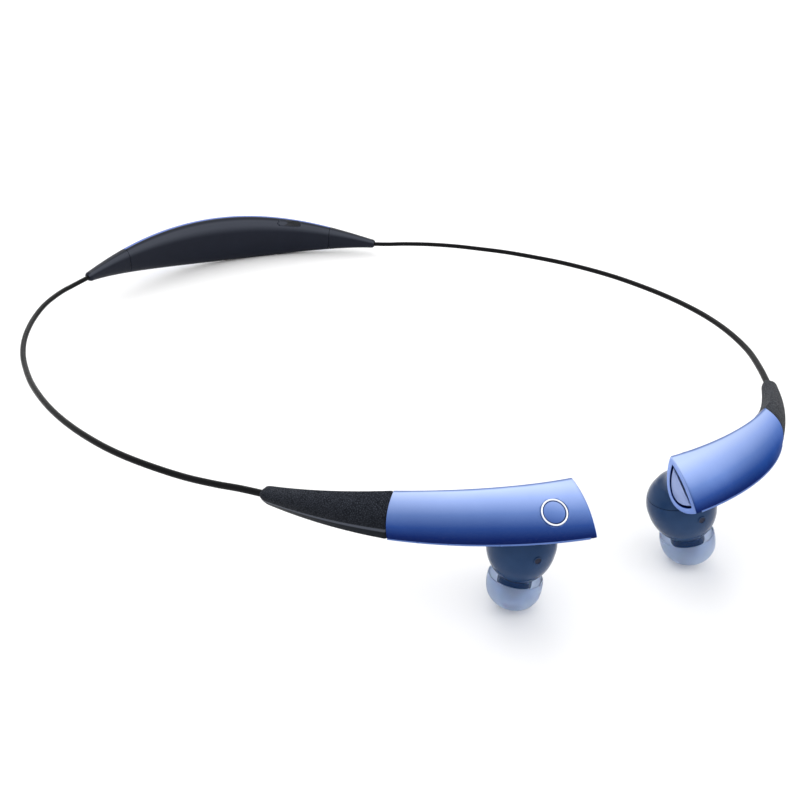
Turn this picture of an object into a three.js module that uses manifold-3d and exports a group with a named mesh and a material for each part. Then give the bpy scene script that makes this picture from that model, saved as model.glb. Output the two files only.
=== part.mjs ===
import * as THREE from 'three';
import { mergeVertices } from 'three/addons/utils/BufferGeometryUtils.js';
import Module from 'manifold-3d';

// Neckband earphones. Millimetres, +Z up, +Y towards the back of the neck, +X towards the wearer's left.
// The loop lies in its own nearly level plane; the whole object then rests on its two ear tips and on the
// lower edge of the rear module.

const wasm = await Module();
wasm.setup();

// ---------- driving dimensions ----------

const gap = 0.3;                    // clearance left between neighbouring pieces
const cableDiameter = 1.3;

// rear module: an arc that hugs the nape of the neck
const module = {
  halfChord: 60.5,
  halfTurn: 45,                     // degrees of arc on each side of the middle
  midTop: 9,                        // height over the arc at the middle, and depth under it
  midFoot: 10.6,
  midDepth: 9,
  endHeight: 3.4,
  endDepth: 3.4,
  seam: 0.69,                       // share of the half turn where a boot begins
  wall: 1.2,
  coverReach: 62,                   // degrees of section, up and down, that the back cover takes
};

// one earphone: a spine whose curvature grows evenly from the cable end to the clasp end
const bud = {
  sleeveLength: 35,
  shellLength: 38.2,
  endCurvature: 0.026,              // per millimetre, at the clasp end
  rise: 0.0018,                     // how the spine lifts, per millimetre squared
  tipHeight: 1.6,                   // half heights of the section
  seamHeight: 4.9,
  endHeight: 6.0,
  tipDepth: 1.65,                   // inward bulge of the section
  seamDepth: 5.0,
  endDepth: 9.2,
  tipCrown: 1.65,                   // outward bulge of the section
  seamCrown: 1.6,
  endCrown: 1.3,
  endSlant: 1.85,                   // how far the foot of the clasp face leads its middle
  twist: 31.7,                      // degrees the shell turns, ridge towards the ear, from seam to clasp
  wall: 0.9,
};

// earpiece: a pebble with an angled nozzle, on the inner side of the shell
const earpiece = {
  station: 64.9,                    // along the spine
  inward: 16.2,
  down: 1.4,
  aim: [0.04, -0.68, -0.73],        // nozzle direction: along, outward, up
  radius: 7.4,
  stalkRadius: 4.4,                 // of the short arm that joins the pebble to the shell
  stalkDrop: 3.0,
  halfThickness: 7.3,
  neckRadius: 3.5,
  neckEnd: 8.8,
  nozzleRadius: 2.4,
  nozzleEnd: 13.2,
  bore: 2.0,
  split: -2.8,                      // where the back half meets the front half
};

const tip = { radius: 5.95, rim: 8.2, nose: 15.3 };
const button = { station: 66.6, height: -0.5, radius: 2.2, ringRadius: 2.7 };

// where the pieces lie in the plane of the loop; angles in degrees
const modulePlace = { at: [1.5, 0, 0], yaw: 10, pitch: 8, roll: 3.3 };
const budPlaces = {
  right: { mirror: -1, at: [-8.8, -176.2, -0.45], yaw: -53.5, pitch: 9.6, roll: 27.8 },
  left: { mirror: 1, at: [126.2, -170.0, 0.45], yaw: -121.4, pitch: 9.2, roll: 29.4 },
};

// how the loop leans when the object stands on a table
const rest = { pitch: -2.98, roll: -0.19, shift: [-34.08, 94.69, 8.74] };

// ---------- helpers ----------

const { lerp, degToRad } = THREE.MathUtils;
const clamp01 = (v) => Math.min(1, Math.max(0, v));
const range = (n, make) => Array.from({ length: n }, (_, i) => make(i));

function material(color, roughness, metalness = 0, extra = {}) {
  return new THREE.MeshStandardMaterial({ color, roughness, metalness, ...extra });
}

const finish = {
  shell: () => material(0x5a74c4, 0.28, 0.75),
  shellInner: () => material(0x3d5296, 0.35, 0.5),
  frame: () => material(0x8fa4e0, 0.3, 0.7),
  leather: () => material(0x2c3038, 0.6),
  housing: () => material(0x1e2430, 0.45),
  smoked: () => material(0x38507a, 0.3),
  silicone: () => material(0x8ba0c4, 0.35, 0, { transparent: true, opacity: 0.8 }),
  cable: () => material(0x0b0b0d, 0.25),
  chrome: () => material(0xd8dce2, 0.15, 1),
  steel: () => material(0x9aa0a8, 0.4, 0.9),
  board: () => material(0x1d5a3a, 0.6),
  cell: () => material(0xb8bcc2, 0.35, 0.6),
  rubber: () => material(0x14181f, 0.75),
  magnet: () => material(0x7d8086, 0.35, 0.9),
  gold: () => material(0xc9a24a, 0.35, 0.9),
};

function named(name, geometry, mat) {
  const mesh = new THREE.Mesh(geometry, mat);
  mesh.name = name;
  return mesh;
}

function toManifold(geometry) {
  const bare = geometry.clone();
  bare.deleteAttribute('normal');
  bare.deleteAttribute('uv');
  const merged = mergeVertices(bare, 1e-4);
  return new wasm.Manifold(new wasm.Mesh({
    numProp: 3,
    vertProperties: new Float32Array(merged.attributes.position.array),
    triVerts: new Uint32Array(merged.index.array),
  }));
}

function fromManifold(solid) {
  const mesh = solid.getMesh();
  const geometry = new THREE.BufferGeometry();
  geometry.setAttribute('position', new THREE.BufferAttribute(mesh.vertProperties, 3));
  geometry.setIndex(new THREE.BufferAttribute(mesh.triVerts, 1));
  return geometry;
}

function indexed(points, faces) {
  const geometry = new THREE.BufferGeometry();
  geometry.setFromPoints(points);
  geometry.setIndex(faces);
  return geometry;
}

// A closed wall between two skins, each a list of stations of points. A round wall closes on itself
// round the section; otherwise its two long edges are closed with strips.
function wall(outer, inner, round, flip) {
  const stations = outer.length;
  const across = outer[0].length;
  const points = [...outer.flat(), ...inner.flat()];
  const inside = stations * across;
  const faces = [];
  const quad = (a, b, c, d) => {
    if (flip) faces.push(a, c, b, a, d, c);
    else faces.push(a, b, c, a, c, d);
  };
  const id = (layer, s, i) => layer * inside + s * across + (i % across);
  const strips = round ? across : across - 1;
  for (let s = 0; s < stations - 1; s += 1) {
    for (let i = 0; i < strips; i += 1) {
      quad(id(0, s, i), id(0, s, i + 1), id(0, s + 1, i + 1), id(0, s + 1, i));
      quad(id(1, s, i), id(1, s + 1, i), id(1, s + 1, i + 1), id(1, s, i + 1));
    }
    if (!round) {
      const last = across - 1;
      quad(id(0, s, 0), id(0, s + 1, 0), id(1, s + 1, 0), id(1, s, 0));
      quad(id(0, s, last), id(1, s, last), id(1, s + 1, last), id(0, s + 1, last));
    }
  }
  for (let i = 0; i < strips; i += 1) {
    const end = stations - 1;
    quad(id(0, 0, i), id(1, 0, i), id(1, 0, i + 1), id(0, 0, i + 1));
    quad(id(0, end, i), id(0, end, i + 1), id(1, end, i + 1), id(1, end, i));
  }
  return indexed(points, faces);
}

// A closed solid through rings of points, with a fan at each end.
function loft(rings, flip) {
  const count = rings[0].length;
  const points = rings.flat();
  const faces = [];
  const tri = (a, b, c) => (flip ? faces.push(a, c, b) : faces.push(a, b, c));
  for (let s = 0; s < rings.length - 1; s += 1) {
    for (let i = 0; i < count; i += 1) {
      const j = (i + 1) % count;
      tri(s * count + i, s * count + j, (s + 1) * count + j);
      tri(s * count + i, (s + 1) * count + j, (s + 1) * count + i);
    }
  }
  const middle = (ring) => ring.reduce((sum, p) => sum.add(p), new THREE.Vector3()).divideScalar(count);
  points.push(middle(rings[0]), middle(rings[rings.length - 1]));
  const first = points.length - 2;
  const last = points.length - 1;
  const base = (rings.length - 1) * count;
  for (let i = 0; i < count; i += 1) {
    const j = (i + 1) % count;
    tri(first, j, i);
    tri(last, base + i, base + j);
  }
  return indexed(points, faces);
}

// Turns a lathed piece so that its +Y axis points along a direction, and moves it.
function aimed(geometry, direction, at) {
  const turn = new THREE.Quaternion().setFromUnitVectors(new THREE.Vector3(0, 1, 0), direction);
  geometry.applyQuaternion(turn);
  geometry.translate(at.x, at.y, at.z);
  return geometry;
}

function lathe(profile, segments = 20) {
  return new THREE.LatheGeometry(profile.map(([r, y]) => new THREE.Vector2(r, y)), segments);
}

function block(x, y, z) {
  return new THREE.BoxGeometry(x, y, z);
}

// Puts a mesh in a frame of three axes at a point.
function seat(mesh, frame, offset = [0, 0, 0]) {
  const basis = new THREE.Matrix4().makeBasis(frame.x, frame.y, frame.z);
  mesh.quaternion.setFromRotationMatrix(basis);
  mesh.position.copy(frame.at)
    .addScaledVector(frame.x, offset[0])
    .addScaledVector(frame.y, offset[1])
    .addScaledVector(frame.z, offset[2]);
  return mesh;
}

// ---------- rear module ----------

const arcRadius = module.halfChord / Math.sin(degToRad(module.halfTurn));

// The frame at a share of the half turn, from -1 at the right end to 1 at the left end: x runs along
// the arc, y outwards to the back, z up.
function moduleFrame(share) {
  const turn = degToRad(module.halfTurn) * share;
  const centre = new THREE.Vector3(0, -arcRadius * Math.cos(degToRad(module.halfTurn)), 0);
  const out = new THREE.Vector3(Math.sin(turn), Math.cos(turn), 0);
  return {
    x: new THREE.Vector3(Math.cos(turn), -Math.sin(turn), 0),
    y: out,
    z: new THREE.Vector3(0, 0, 1),
    at: centre.addScaledVector(out, arcRadius),
  };
}

function moduleSize(share) {
  const swell = Math.max(Math.cos(share * Math.PI / 2), 0);
  return {
    top: lerp(module.endHeight / 2, module.midTop, swell ** 1.25),
    foot: lerp(module.endHeight / 2, module.midFoot, swell ** 1.1),
    depth: lerp(module.endDepth, module.midDepth, swell ** 1.2) / 2,
  };
}

// A point of the rounded section. The angle is measured from straight back, in degrees.
function modulePoint(share, angle, inset = 0) {
  const { top, foot, depth } = moduleSize(share);
  const c = Math.cos(degToRad(angle));
  const s = Math.sin(degToRad(angle));
  const soften = (v) => Math.sign(v) * Math.abs(v) ** 0.85;
  const frame = moduleFrame(share);
  return frame.at.clone()
    .addScaledVector(frame.y, (depth - inset) * soften(c))
    .addScaledVector(frame.z, ((s > 0 ? top : foot) - inset) * soften(s));
}

function moduleShell(fromShare, toShare, fromAngle, toAngle, stations, across) {
  const skin = (inset) => range(stations, (s) => range(across, (i) => {
    const share = lerp(fromShare, toShare, s / (stations - 1));
    return modulePoint(share, lerp(fromAngle, toAngle, i / (across - 1)), inset);
  }));
  return wall(skin(0), skin(module.wall), false, false);
}

function moduleBoot(side) {
  const stations = 9;
  const across = 16;
  const ring = (share, inset, roundOff = 0) => range(across, (i) =>
    modulePoint(share, 360 * i / across, inset + roundOff));
  const shareGap = gap / (arcRadius * degToRad(module.halfTurn));
  const outer = range(stations, (s) => {
    const share = lerp(module.seam + shareGap, 1, s / (stations - 1));
    return ring(side * share, 0, s === stations - 1 ? 0.35 : 0);
  });
  const inner = range(stations, (s) => {
    const share = lerp(module.seam + shareGap, 1, s / (stations - 1));
    return ring(side * share, lerp(module.wall, module.endHeight / 2 - 0.95, s / (stations - 1)));
  });
  return wall(outer, inner, true, side < 0);
}

function makeModule() {
  const group = new THREE.Group();
  const { seam, coverReach } = module;
  const edge = 4;                   // degrees of section left open between the cover and the housing
  const flap = { share: 0.42, angle: 122, length: 9, height: 2.4, thick: 0.9 };

  const cover = moduleShell(-seam, seam, -coverReach, coverReach, 25, 8);
  group.add(named('module_back_cover', cover, finish.shell()));

  const portFrame = frameOnSection(flap.share, flap.angle, 0);
  const housing = toManifold(moduleShell(-seam, seam, coverReach + edge, 360 - coverReach - edge, 25, 13));
  const slot = named('', block(flap.length + 2 * gap, 6, flap.height + 2 * gap), finish.rubber());
  seat(slot, portFrame);
  slot.updateMatrix();
  const cut = toManifold(slot.geometry.clone().applyMatrix4(slot.matrix));
  group.add(named('module_neck_housing', fromManifold(housing.subtract(cut)), finish.housing()));

  const cap = named('port_flap', flapShape(flap), finish.rubber());
  group.add(seat(cap, portFrame, [0, -0.15, 0]));
  const receptacle = named('charging_receptacle', receptacleShell(), finish.steel());
  group.add(seat(receptacle, portFrame, [0, -2.4, 0]));

  const cell = named('battery_cell', bentBlock(-0.44, 0.02, 8.4, 3.4), finish.cell());
  const board = named('module_circuit_board', bentBlock(0.05, 0.33, 7.5, 0.9), finish.board());
  group.add(cell, board);
  const motor = named('vibration_motor', new THREE.CylinderGeometry(1.4, 1.4, 6, 12), finish.steel());
  motor.geometry.rotateZ(Math.PI / 2);
  group.add(seat(motor, moduleFrame(-0.56)));

  for (const [label, side] of [['right', -1], ['left', 1]]) {
    group.add(named(`${label}_module_boot`, moduleBoot(side), finish.housing()));
    const anchor = named(`${label}_module_cable_anchor`, new THREE.CylinderGeometry(1, 1, 4, 10), finish.steel());
    anchor.geometry.rotateZ(Math.PI / 2);
    group.add(seat(anchor, moduleFrame(side * 0.8)));
  }
  return group;
}

// x back along the module, y out of the neck side, z up over it
function frameOnSection(share, angle, inset) {
  const at = modulePoint(share, angle, inset);
  const upward = modulePoint(share, angle - 8, inset).sub(modulePoint(share, angle + 8, inset)).normalize();
  const along = moduleFrame(share).x.negate();
  return { x: along, z: upward, y: new THREE.Vector3().crossVectors(upward, along), at };
}

// A flap with a rounded lower edge, which it turns about.
function flapShape({ length, thick, height }) {
  const shape = new THREE.Shape();
  shape.absarc(0, (thick - height) / 2, thick / 2, Math.PI, 2 * Math.PI);
  shape.lineTo(thick / 2, height / 2);
  shape.lineTo(-thick / 2, height / 2);
  const geometry = new THREE.ExtrudeGeometry(shape, { depth: length, bevelEnabled: false, curveSegments: 10 });
  geometry.translate(0, 0, -length / 2);
  return geometry.applyMatrix4(new THREE.Matrix4().makeBasis(
    new THREE.Vector3(0, 1, 0),
    new THREE.Vector3(0, 0, 1),
    new THREE.Vector3(1, 0, 0),
  ));
}

// The metal can of the charging socket, open towards the flap.
function receptacleShell() {
  const outline = new THREE.Shape([[-3.9, -1.2], [3.9, -1.2], [3.9, 1.2], [-3.9, 1.2]]
    .map(([x, y]) => new THREE.Vector2(x, y)));
  outline.holes.push(new THREE.Path([[-3.5, -0.8], [-3.5, 0.8], [3.5, 0.8], [3.5, -0.8]]
    .map(([x, y]) => new THREE.Vector2(x, y))));
  const geometry = new THREE.ExtrudeGeometry(outline, { depth: 3, bevelEnabled: false });
  geometry.rotateX(Math.PI / 2);
  return geometry.translate(0, 1.5, 0);
}

// A flat-sided piece that follows the arc of the module.
function bentBlock(fromShare, toShare, height, depth) {
  const rings = range(7, (s) => {
    const frame = moduleFrame(lerp(fromShare, toShare, s / 6));
    return [[-1, -1], [1, -1], [1, 1], [-1, 1]].map(([y, z]) => frame.at.clone()
      .addScaledVector(frame.y, y * depth / 2)
      .addScaledVector(frame.z, z * height / 2));
  });
  return loft(rings, false);
}

// ---------- earphones ----------

const budLength = bud.sleeveLength + bud.shellLength;

// The spine and its frame at a distance from the cable end. x runs along, y outwards, z up.
function spineFrame(station) {
  const steps = 60;
  const at = new THREE.Vector3(0, 0, bud.rise * station * station);
  const heading = (s) => -bud.endCurvature * s * s / (2 * budLength);
  for (let i = 0; i < steps; i += 1) {
    const s = station * (i + 0.5) / steps;
    at.x += Math.cos(heading(s)) * station / steps;
    at.y += Math.sin(heading(s)) * station / steps;
  }
  const h = heading(station);
  const x = new THREE.Vector3(Math.cos(h), Math.sin(h), 0);
  const twist = degToRad(bud.twist) * clamp01((station - bud.sleeveLength) / bud.shellLength);
  return {
    x,
    y: new THREE.Vector3(-Math.sin(h), Math.cos(h), 0).applyAxisAngle(x, twist),
    z: new THREE.Vector3(0, 0, 1).applyAxisAngle(x, twist),
    at,
  };
}

function sectionSize(station) {
  const along = clamp01(station / bud.sleeveLength);
  const beyond = clamp01((station - bud.sleeveLength) / bud.shellLength);
  const mix = (a, b, c) => (station < bud.sleeveLength ? lerp(a, b, along) : lerp(b, c, beyond));
  return {
    height: mix(bud.tipHeight, bud.seamHeight, bud.endHeight),
    depth: mix(bud.tipDepth, bud.seamDepth, bud.endDepth),
    crown: mix(bud.tipCrown, bud.seamCrown, bud.endCrown),
    slant: bud.endSlant * beyond,
  };
}

// A point of the section. level runs from -1 at the foot to 1 at the ridge.
function sectionPoint(station, level, facing, inset = 0) {
  const size = sectionSize(station);
  const body = 1 - level * level;
  const out = facing > 0
    ? Math.max(size.crown - inset * 0.9, 0.2) * body - inset * (1 - body) * 0.6
    : -(size.depth - inset) * body ** 0.8 - inset * 0.5 * (1 - body);
  const up = level * (size.height - inset);
  const frame = spineFrame(station);
  return frame.at.clone()
    .addScaledVector(frame.x, -size.slant * up / size.height)
    .addScaledVector(frame.y, out)
    .addScaledVector(frame.z, up);
}

function sectionRing(station, inset = 0, count = 9) {
  const levels = range(count, (i) => Math.sin(lerp(-90, 90, i / (count - 1)) * Math.PI / 180));
  return [
    ...levels.map((v) => sectionPoint(station, v, 1, inset)),
    ...levels.slice(1, -1).reverse().map((v) => sectionPoint(station, v, -1, inset)),
  ];
}

const stationsBetween = (from, to, count) => range(count, (i) => lerp(from, to, i / (count - 1)));

function sleeve() {
  const ends = [[0, 0.45, 0.7], [0.35, 0.12, 0.72], [0.9, 0, 0.75]];
  const body = stationsBetween(2.4, bud.sleeveLength - gap, 10)
    .map((s) => [s, 0, lerp(0.8, 1.3, clamp01(s / 12))]);
  const all = [...ends, ...body];
  const outer = all.map(([s, round]) => sectionRing(s, round));
  const inner = all.map(([s, , inset]) => sectionRing(s, inset));
  return wall(outer, inner, true, false);
}

function outerShell() {
  const stations = stationsBetween(bud.sleeveLength, budLength - 1.5, 15);
  const levels = range(9, (i) => Math.sin(degToRad(lerp(-90, 90, i / 8))));
  const skin = (inset) => stations.map((s) => levels.map((v) => sectionPoint(s, v, 1, inset)));
  return wall(skin(0), skin(bud.wall), false, false);
}

function innerShell() {
  const stations = stationsBetween(bud.sleeveLength, budLength - 1.5, 15);
  const levels = range(10, (i) => Math.sin(degToRad(lerp(62, -62, i / 9))));
  const skin = (inset) => stations.map((s) => levels.map((v) => sectionPoint(s, v, -1, inset)));
  return wall(skin(0), skin(bud.wall + 0.2), false, false);
}

function endFrame() {
  const stations = [budLength - 1.2, budLength];
  const outer = stations.map((s) => sectionRing(s, 0.1));
  const inner = stations.map((s) => sectionRing(s, 1.5));
  return wall(outer, inner, true, false);
}

function claspPlate() {
  return loft([budLength - 1.2, budLength - 0.5].map((s) => sectionRing(s, 1.8)), false);
}

// The frame of the earpiece: its axis runs out through the nozzle.
function earpieceAxis() {
  const frame = spineFrame(earpiece.station);
  const at = frame.at.clone()
    .addScaledVector(frame.y, -earpiece.inward)
    .addScaledVector(frame.z, -earpiece.down);
  const [along, out, up] = earpiece.aim;
  const axis = new THREE.Vector3()
    .addScaledVector(frame.x, along)
    .addScaledVector(frame.y, out)
    .addScaledVector(frame.z, up)
    .normalize();
  return { at, axis };
}

// Half of an oval in radius and height, between two shares of the half circle.
function oval(radius, half, from, to, count) {
  return range(count, (i) => {
    const a = degToRad(lerp(from, to, i / (count - 1)));
    return [radius * Math.sin(a), -half * Math.cos(a)];
  });
}

function frontHousing(splitAngle) {
  const { radius, halfThickness, neckRadius, neckEnd, nozzleRadius, nozzleEnd, bore } = earpiece;
  const neckAngle = 180 - THREE.MathUtils.radToDeg(Math.asin(neckRadius / radius));
  const outer = oval(radius, halfThickness, splitAngle, neckAngle, 8);
  const inner = oval(radius - 1, halfThickness - 1, splitAngle, 155, 7).reverse();
  return lathe([
    ...outer,
    [neckRadius, neckEnd],
    [nozzleRadius, neckEnd],
    [nozzleRadius, nozzleEnd - 1],
    [nozzleRadius + 0.2, nozzleEnd - 0.6],
    [nozzleRadius, nozzleEnd],
    [bore, nozzleEnd],
    [bore, 7],
    ...inner,
    outer[0],
  ]);
}

function backHousing(splitAngle) {
  const { radius, halfThickness } = earpiece;
  const skin = oval(radius, halfThickness, 0, splitAngle - 3, 7);
  const hollow = oval(radius - 1, halfThickness - 1, 0, splitAngle - 3, 7).reverse();
  hollow[hollow.length - 1][0] = 0;
  return lathe([...skin, ...hollow]);
}

function earTip() {
  const { radius, rim, nose } = tip;
  return lathe([
    [1.9, nose - 0.1], [1.9, 13.6], [2.8, 13.6], [2.8, 9.2], [3.5, 9.2], [3.5, 12.2],
    [4.2, 12.6], [4.8, 11.9], [5.25, 10.7], [5.45, 9.5], [5.4, rim], [radius - 0.15, rim],
    [radius, 9.5], [radius - 0.1, 10.9], [5.5, 12.5], [4.5, 13.9], [3.2, 14.9], [2.3, nose],
    [1.9, nose - 0.1],
  ], 24);
}

function mirrored(mesh, mirror) {
  if (mirror > 0) return mesh;
  mesh.updateMatrix();
  const geometry = mesh.geometry.index ? mesh.geometry.toNonIndexed() : mesh.geometry.clone();
  geometry.applyMatrix4(mesh.matrix);
  geometry.applyMatrix4(new THREE.Matrix4().makeScale(1, -1, 1));
  const p = geometry.attributes.position;
  for (let i = 0; i < p.count; i += 3) {
    const [x, y, z] = [p.getX(i + 1), p.getY(i + 1), p.getZ(i + 1)];
    p.setXYZ(i + 1, p.getX(i + 2), p.getY(i + 2), p.getZ(i + 2));
    p.setXYZ(i + 2, x, y, z);
  }
  const out = new THREE.Mesh(geometry, mesh.material);
  out.name = mesh.name;
  return out;
}

function makeBud(label, place, withButton) {
  const pieces = [];
  const add = (name, geometry, mat) => {
    const mesh = named(`${label}_${name}`, geometry, mat);
    pieces.push(mesh);
    return mesh;
  };

  add('cable_sleeve', sleeve(), finish.leather());
  const anchor = add('cable_anchor', new THREE.CylinderGeometry(0.9, 0.9, 4, 10), finish.steel());
  anchor.geometry.rotateZ(Math.PI / 2);
  seat(anchor, spineFrame(24), [0, -1.2, 0]);

  const face = spineFrame(button.station);
  const onFace = { ...face, at: sectionPoint(button.station, button.height / bud.endHeight, 1) };
  let outer = outerShell();
  if (withButton) {
    const hole = new THREE.CylinderGeometry(button.ringRadius + gap, button.ringRadius + gap, 6, 24);
    hole.applyMatrix4(new THREE.Matrix4().makeBasis(onFace.x, onFace.y, onFace.z).setPosition(onFace.at));
    outer = fromManifold(toManifold(outer).subtract(toManifold(hole)));
    const ring = button.ringRadius;
    const cap = button.radius;
    seat(add('button_ring', lathe([
      [cap + 0.15, -0.9], [ring, -0.9], [ring, 0.05], [ring - 0.15, 0.2], [cap + 0.15, 0.05], [cap + 0.15, -0.9],
    ], 24), finish.chrome()), onFace);
    seat(add('call_button', lathe([
      [0, -1.0], [cap - 0.15, -1.0], [cap - 0.15, -0.05], [cap - 0.35, 0.1], [0, 0.18],
    ], 24), finish.shell()), onFace);
    seat(add('button_switch', block(3, 1.1, 3), finish.steel()), onFace, [0, -2.3, 0]);
    seat(add('button_board', block(6, 0.8, 6), finish.board()), onFace, [-2.6, -3.6, 0]);
    seat(add('microphone', block(3, 1, 2.2), finish.gold()), spineFrame(56), [0, -1.2, 0]);
  }
  add('outer_shell', outer, finish.shell());
  add('end_frame', endFrame(), finish.frame());
  add('clasp_plate', claspPlate(), finish.shell());
  seat(add('clasp_magnet', block(1.8, 3.6, 4.4), finish.magnet()), spineFrame(budLength - 3.5), [0, -3.3, 0]);

  const { at, axis } = earpieceAxis();
  const splitAngle = THREE.MathUtils.radToDeg(Math.acos(-earpiece.split / earpiece.halfThickness));
  const along = (distance) => at.clone().addScaledVector(axis, distance);
  const frame = spineFrame(earpiece.station);
  const stalk = new THREE.CylinderGeometry(earpiece.stalkRadius, earpiece.stalkRadius, earpiece.inward - 3, 20);
  const stalkAt = at.clone()
    .addScaledVector(frame.z, earpiece.stalkDrop)
    .addScaledVector(frame.y, (earpiece.inward - 3) / 2);
  const hollow = lathe(oval(earpiece.radius - 1, earpiece.halfThickness - 1, 0, 180, 12));
  const frontSide = new THREE.CylinderGeometry(20, 20, 30, 16);
  const arm = toManifold(aimed(stalk, frame.y, stalkAt))
    .subtract(toManifold(aimed(frontSide, axis, along(earpiece.split - 2 * gap + 15))));
  const housing = toManifold(aimed(backHousing(splitAngle), axis, at))
    .add(arm)
    .subtract(toManifold(aimed(hollow, axis, at)));
  const keepOut = toManifold(loft(stationsBetween(bud.sleeveLength + 4, budLength, 8)
    .map((s) => sectionRing(s, -gap)), false));
  add('earpiece_back', fromManifold(housing.subtract(keepOut)), finish.smoked());

  const front = toManifold(aimed(frontHousing(splitAngle), axis, at));
  const ventWay = new THREE.Vector3()
    .addScaledVector(frame.x, 2.1)
    .addScaledVector(frame.y, 4.4)
    .addScaledVector(frame.z, -4.6)
    .normalize();
  const vent = aimed(new THREE.CylinderGeometry(0.75, 0.75, 5, 10), ventWay, at.clone().addScaledVector(ventWay, 7));
  const opened = front.subtract(toManifold(vent)).subtract(keepOut);
  add('earpiece_front', fromManifold(opened), finish.smoked());
  const screen = new THREE.CylinderGeometry(0.45, 0.45, 0.4, 10);
  add('vent_screen', aimed(screen, ventWay, at.clone().addScaledVector(ventWay, 6.3)), finish.steel());

  const driver = lathe([[0, -0.4], [4.2, -0.4], [4.6, 0], [4.6, 1.2], [4.2, 1.6], [0, 2.2]], 18);
  add('speaker_driver', aimed(driver, axis, along(0.4)), finish.steel());
  const grille = new THREE.CylinderGeometry(earpiece.bore - gap, earpiece.bore - gap, 0.4, 14);
  add('nozzle_grille', aimed(grille, axis, along(earpiece.nozzleEnd - 0.6)), finish.steel());
  add('ear_tip', aimed(earTip(), axis, at), finish.silicone());
  add('inner_shell', innerShell(), finish.shellInner());

  const group = new THREE.Group();
  pieces.forEach((piece) => group.add(mirrored(piece, place.mirror)));
  group.position.set(...place.at);
  const { yaw, pitch, roll, mirror } = place;
  group.rotation.set(mirror * degToRad(roll), -degToRad(pitch), degToRad(yaw), 'ZYX');
  return group;
}

// ---------- cables ----------

const cableRoutes = {
  right: [[-58.2, -10.8, 3.4], [-62.9, -17.5, 3.2], [-66.8, -24.6, 3.3], [-70.7, -35.2, 3.2], [-73.2, -45.9, 2.5],
    [-74.2, -56.7, 2.0], [-74.3, -66.0, 1.3], [-73.4, -75.2, 0.6], [-71.6, -84.2, 0], [-68.7, -95.2, 0],
    [-65.0, -105.9, 0], [-60.6, -116.4, 0], [-55.4, -126.6, 0], [-49.5, -136.2, -0.1], [-43.0, -144.8, -0.5],
    [-35.6, -152.5, -1.1], [-26.8, -160.1, -1.9], [-19.4, -166.7, -1.5], [-14.0, -171.4, -0.9],
    [-9.0, -175.95, -0.5]],
  left: [[61.3, 10.3, -3.5], [66.5, 6.0, -3.0], [72.4, 1.1, -2.2], [81.1, -6.6, -1.3], [89.9, -15.2, -0.7],
    [98.0, -24.4, -0.3], [105.9, -33.8, 0], [113.4, -43.6, 0], [120.3, -53.8, 0], [126.1, -64.6, 0],
    [131.0, -75.9, 0], [134.7, -87.6, 0], [137.5, -99.5, 0], [139.2, -111.7, 0], [139.6, -124.0, 0],
    [138.4, -136.2, 0], [135.8, -148.2, -0.1], [131.2, -159.6, 0.2], [126.35, -169.75, 0.4]],
};

function cable(points) {
  const curve = new THREE.CatmullRomCurve3(points.map((p) => new THREE.Vector3(...p)));
  const section = new THREE.Shape(range(8, (i) => new THREE.Vector2(
    cableDiameter / 2 * Math.cos(Math.PI * i / 4),
    cableDiameter / 2 * Math.sin(Math.PI * i / 4),
  )));
  return new THREE.ExtrudeGeometry(section, { steps: 72, bevelEnabled: false, extrudePath: curve });
}

// ---------- the object ----------

const loop = new THREE.Group();
const rear = makeModule();
rear.position.set(...modulePlace.at);
rear.rotation.set(
  degToRad(modulePlace.pitch),
  degToRad(modulePlace.roll),
  degToRad(modulePlace.yaw),
  'ZYX',
);
loop.add(rear);
for (const [label, place] of Object.entries(budPlaces)) {
  loop.add(makeBud(label, place, label === 'right'));
  loop.add(named(`${label}_cable`, cable(cableRoutes[label]), finish.cable()));
}
loop.rotation.set(degToRad(rest.pitch), degToRad(rest.roll), 0, 'XYZ');
loop.position.set(...rest.shift);

const earphones = new THREE.Group();
earphones.add(loop);

export default earphones;
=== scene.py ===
import math

import bmesh
import bpy
from mathutils import Matrix, Vector


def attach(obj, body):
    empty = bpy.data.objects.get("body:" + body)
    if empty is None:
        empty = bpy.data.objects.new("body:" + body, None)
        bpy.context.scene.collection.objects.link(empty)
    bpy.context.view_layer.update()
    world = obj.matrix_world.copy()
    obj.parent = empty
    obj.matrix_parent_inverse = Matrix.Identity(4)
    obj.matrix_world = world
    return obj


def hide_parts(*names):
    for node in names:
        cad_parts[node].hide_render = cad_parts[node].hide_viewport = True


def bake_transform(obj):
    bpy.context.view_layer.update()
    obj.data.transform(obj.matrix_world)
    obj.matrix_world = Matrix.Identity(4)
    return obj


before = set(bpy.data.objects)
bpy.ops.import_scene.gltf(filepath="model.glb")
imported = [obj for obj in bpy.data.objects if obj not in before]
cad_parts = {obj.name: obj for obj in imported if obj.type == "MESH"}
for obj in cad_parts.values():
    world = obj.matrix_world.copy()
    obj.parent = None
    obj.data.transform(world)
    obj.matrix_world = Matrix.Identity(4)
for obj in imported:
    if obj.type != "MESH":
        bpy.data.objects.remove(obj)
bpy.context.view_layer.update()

# Neckband earphones. Shapes are worked out in millimetres in the loop's own plane, then turned and
# moved to where the loop leans on the table, and scaled to metres.

lean = {"pitch": -2.98, "roll": -0.19, "shift": (-34.08, 94.69, 8.74)}
loopTurn = (Matrix.Rotation(math.radians(lean["pitch"]), 3, "X")
            @ Matrix.Rotation(math.radians(lean["roll"]), 3, "Y"))
sides = ("right", "left")


def toRow(point):
    return (loopTurn @ Vector(point) + Vector(lean["shift"])) * 0.001


def mix(a, b, share):
    return a + (b - a) * share


def clamp(value, low=0.0, high=1.0):
    return max(low, min(high, value))


def smooth(value):
    value = clamp(value)
    return value * value * (3 - 2 * value)


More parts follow.
